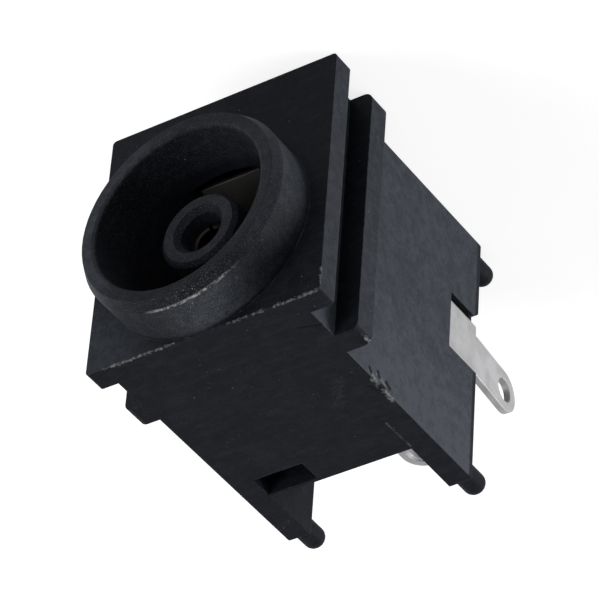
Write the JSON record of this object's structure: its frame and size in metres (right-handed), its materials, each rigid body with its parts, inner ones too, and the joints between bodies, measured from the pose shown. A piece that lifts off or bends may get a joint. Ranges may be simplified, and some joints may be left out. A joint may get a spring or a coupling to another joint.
{
  "type": "dc barrel jack",
  "caption": "Moulded DC barrel jack with a square front plate, a case groove, a round socket with a centre post, rear legs with pegs and tinned solder lugs.",
  "frame": {"origin": "on the socket axis, in the plane of the front plate's face under the nose", "axes": "-Y out of the socket mouth, +Y towards the solder lugs, +Z towards the pair of rear legs, -X towards the side lug"},
  "size_m": [0.0094, 0.0162, 0.0104],
  "materials": {
    "black_moulding": "moulded black thermoplastic, rubbed grey on the edges",
    "tinned_plate_metal": "tinned brass, dull, bright where the edge was sheared",
    "pin_sleeve_metal": "plated brass, turned",
    "tinned_spring_metal": "tinned spring bronze, dull, brown flux at the bend",
    "tinned_switch_metal": "tinned spring bronze, dull"
  },
  "bodies": {
    "root": {"housing": "black_moulding", "centre_contact": "tinned_plate_metal", "pin_sleeve": "pin_sleeve_metal", "sleeve_contact": "tinned_spring_metal", "switch_contact": "tinned_switch_metal"}
  },
  "joints": []
}
